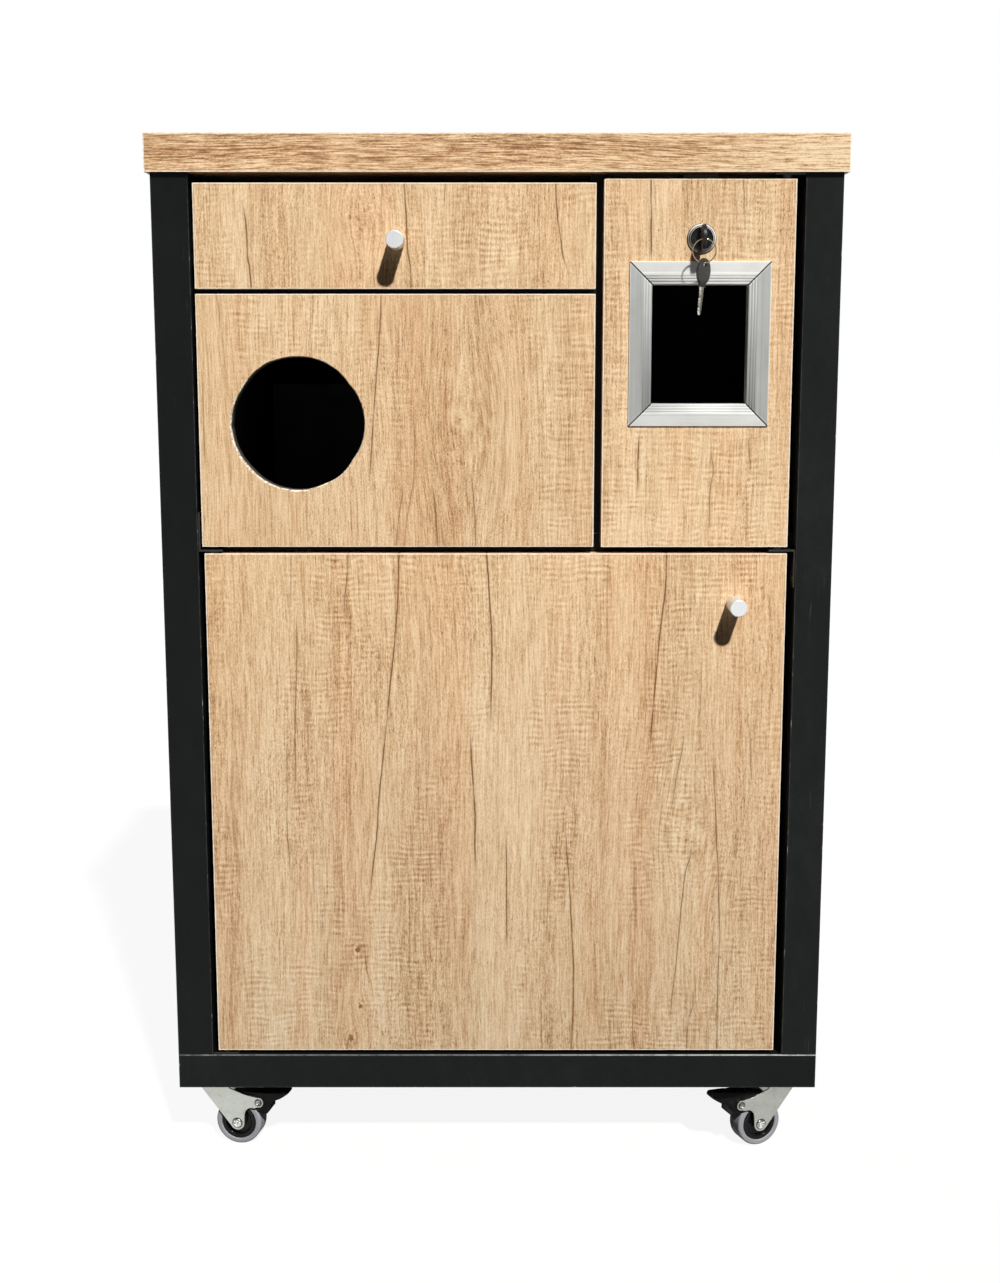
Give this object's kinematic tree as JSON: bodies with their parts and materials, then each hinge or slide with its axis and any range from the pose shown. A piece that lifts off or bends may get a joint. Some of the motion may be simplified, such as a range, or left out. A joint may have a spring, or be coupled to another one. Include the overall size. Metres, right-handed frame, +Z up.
{
  "type": "book drop box",
  "caption": "Mobile book drop cabinet with a drawer, a round drop hole over a chute and bin, a lockable door with a framed opening, a lower door and swivel castors.",
  "frame": {"origin": "on the floor under the centre of the cabinet's box", "axes": "+Z up, -Y towards the front with the doors and drawer, +X to the right seen from the front"},
  "size_m": [0.71, 0.4855, 1.09],
  "materials": {
    "black_board": "matt black laminated board",
    "oak_board": "natural oak decor, light saw-mark texture",
    "drawer_grey": "dark grey laminated board",
    "chute_sheet": "matt black powder coat",
    "bin_plastic": "fine moulded texture",
    "zinc_steel": "zinc plated, satin",
    "screw_steel": "bright zinc",
    "knob_metal": "satin",
    "frame_aluminium": "ribbed, satin anodised",
    "lock_chrome": "polished",
    "lock_dark": "dark nickel",
    "key_steel": "nickel plated",
    "key_plastic": "smooth, dark grey bow over a steel blade",
    "catch_plastic": "matt",
    "tyre_grey": "soft grey thermoplastic rubber",
    "hub_black": "moulded black"
  },
  "bodies": {
    "case": {"base_board": "black_board", "left_side_panel": "black_board", "right_side_panel": "black_board", "top_board": "oak_board", "back_panel": "black_board", "mid_shelf": "black_board", "divider_panel": "black_board", "drawer_shelf": "black_board", "round_drop_panel": "oak_board", "drop_chute": "chute_sheet", "collection_bin": "bin_plastic", "carcass_screws": "screw_steel", "runner_outer_members": "zinc_steel", "door_pivot_brackets": "zinc_steel", "bracket_screws": "screw_steel", "lock_keeper": "zinc_steel", "magnet_catch": "catch_plastic", "castor_plates": "zinc_steel", "castor_screws": "screw_steel"},
    "drawer": {"drawer_front": "oak_board", "drawer_box": "drawer_grey", "drawer_bottom": "drawer_grey", "drawer_knob": "knob_metal", "drawer_knob_screw": "screw_steel", "runner_inner_members": "zinc_steel"},
    "left_middle_runner": {"left_runner_middle": "zinc_steel"},
    "right_middle_runner": {"right_runner_middle": "zinc_steel"},
    "locking_door": {"lockable_door": "oak_board", "frame_cross_rails": "frame_aluminium", "frame_side_rails": "frame_aluminium", "lock_housing": "lock_chrome", "lock_nut": "zinc_steel"},
    "lock_cylinder": {"lock_plug": "lock_dark", "lock_cam": "zinc_steel", "cam_screw": "screw_steel"},
    "key": {"door_key": "key_plastic"},
    "key_bunch": {"key_ring": "key_steel", "spare_key": "key_plastic"},
    "bottom_door": {"lower_door": "oak_board", "lower_door_knob": "knob_metal", "lower_knob_screw": "screw_steel", "strike_plate": "zinc_steel"},
    "front_left_swivel": {"front_left_fork": "zinc_steel", "front_left_axle": "screw_steel"},
    "front_left_wheel": {"front_left_tyre": "tyre_grey", "front_left_hub": "hub_black"},
    "front_left_brake": {"front_left_pedal": "hub_black"},
    "front_right_swivel": {"front_right_fork": "zinc_steel", "front_right_axle": "screw_steel"},
    "front_right_wheel": {"front_right_tyre": "tyre_grey", "front_right_hub": "hub_black"},
    "front_right_brake": {"front_right_pedal": "hub_black"},
    "rear_left_swivel": {"rear_left_fork": "zinc_steel", "rear_left_axle": "screw_steel"},
    "rear_left_wheel": {"rear_left_tyre": "tyre_grey", "rear_left_hub": "hub_black"},
    "rear_right_swivel": {"rear_right_fork": "zinc_steel", "rear_right_axle": "screw_steel"},
    "rear_right_wheel": {"rear_right_tyre": "tyre_grey", "rear_right_hub": "hub_black"}
  },
  "joints": [
    {"name": "drawer_slide", "type": "slide", "parent": "case", "child": "drawer", "axis": [0, -1, 0], "range_m": [0, 0.33]},
    {"name": "left_runner_slide", "type": "slide", "parent": "case", "child": "left_middle_runner", "axis": [0, -1, 0], "range_m": [0, 0.165]},
    {"name": "right_runner_slide", "type": "slide", "parent": "case", "child": "right_middle_runner", "axis": [0, -1, 0], "range_m": [0, 0.165]},
    {"name": "locking_door_hinge", "type": "hinge", "parent": "case", "child": "locking_door", "pos_m": [0.294, -0.198, 0.8595], "axis": [0, 0, 1], "range_deg": [0, 100]},
    {"name": "bottom_door_hinge", "type": "hinge", "parent": "case", "child": "bottom_door", "pos_m": [-0.297, -0.198, 0.392], "axis": [0, 0, -1], "range_deg": [0, 105]},
    {"name": "lock_turn", "type": "hinge", "parent": "locking_door", "child": "lock_cylinder", "pos_m": [0.2075, -0.195, 0.987], "axis": [0, 1, 0], "range_deg": [0, 90]},
    {"name": "key_pull", "type": "slide", "parent": "lock_cylinder", "child": "key", "axis": [0, -1, 0], "range_m": [0, 0.024]},
    {"name": "key_bunch_swing", "type": "hinge", "parent": "key", "child": "key_bunch", "pos_m": [0.2075, -0.2323, 0.9849], "axis": [1, 0, 0], "range_deg": [-30, 6]},
    {"name": "front_left_swivel_turn", "type": "hinge", "parent": "case", "child": "front_left_swivel", "pos_m": [-0.311, -0.173, 0.07], "axis": [0, 0, 1], "continuous": true},
    {"name": "front_left_wheel_roll", "type": "hinge", "parent": "front_left_swivel", "child": "front_left_wheel", "pos_m": [-0.28704, -0.17809, 0.026], "axis": [0.2079, 0.9781, 0], "continuous": true},
    {"name": "front_left_brake_press", "type": "hinge", "parent": "front_left_swivel", "child": "front_left_brake", "pos_m": [-0.26258, -0.18329, 0.052], "axis": [0.2079, 0.9781, 0], "range_deg": [0, 7.5]},
    {"name": "front_right_swivel_turn", "type": "hinge", "parent": "case", "child": "front_right_swivel", "pos_m": [0.311, -0.173, 0.07], "axis": [0, 0, 1], "continuous": true},
    {"name": "front_right_wheel_roll", "type": "hinge", "parent": "front_right_swivel", "child": "front_right_wheel", "pos_m": [0.28828, -0.18218, 0.026], "axis": [0.3746, -0.9272, 0], "continuous": true},
    {"name": "front_right_brake_press", "type": "hinge", "parent": "front_right_swivel", "child": "front_right_brake", "pos_m": [0.2651, -0.19154, 0.052], "axis": [0.3746, -0.9272, 0], "range_deg": [0, 7.5]},
    {"name": "rear_left_swivel_turn", "type": "hinge", "parent": "case", "child": "rear_left_swivel", "pos_m": [-0.311, 0.207, 0.07], "axis": [0, 0, 1], "continuous": true},
    {"name": "rear_left_wheel_roll", "type": "hinge", "parent": "rear_left_swivel", "child": "rear_left_wheel", "pos_m": [-0.28674, 0.21041, 0.026], "axis": [-0.1392, 0.9903, 0], "continuous": true},
    {"name": "rear_right_swivel_turn", "type": "hinge", "parent": "case", "child": "rear_right_swivel", "pos_m": [0.311, 0.207, 0.07], "axis": [0, 0, 1], "continuous": true},
    {"name": "rear_right_wheel_roll", "type": "hinge", "parent": "rear_right_swivel", "child": "rear_right_wheel", "pos_m": [0.28733, 0.21334, 0.026], "axis": [-0.2588, -0.9659, 0], "continuous": true}
  ],
  "couplings": [
    {"joint": "left_runner_slide", "follows": "drawer_slide", "ratio": 0.5},
    {"joint": "right_runner_slide", "follows": "drawer_slide", "ratio": 0.5}
  ]
}
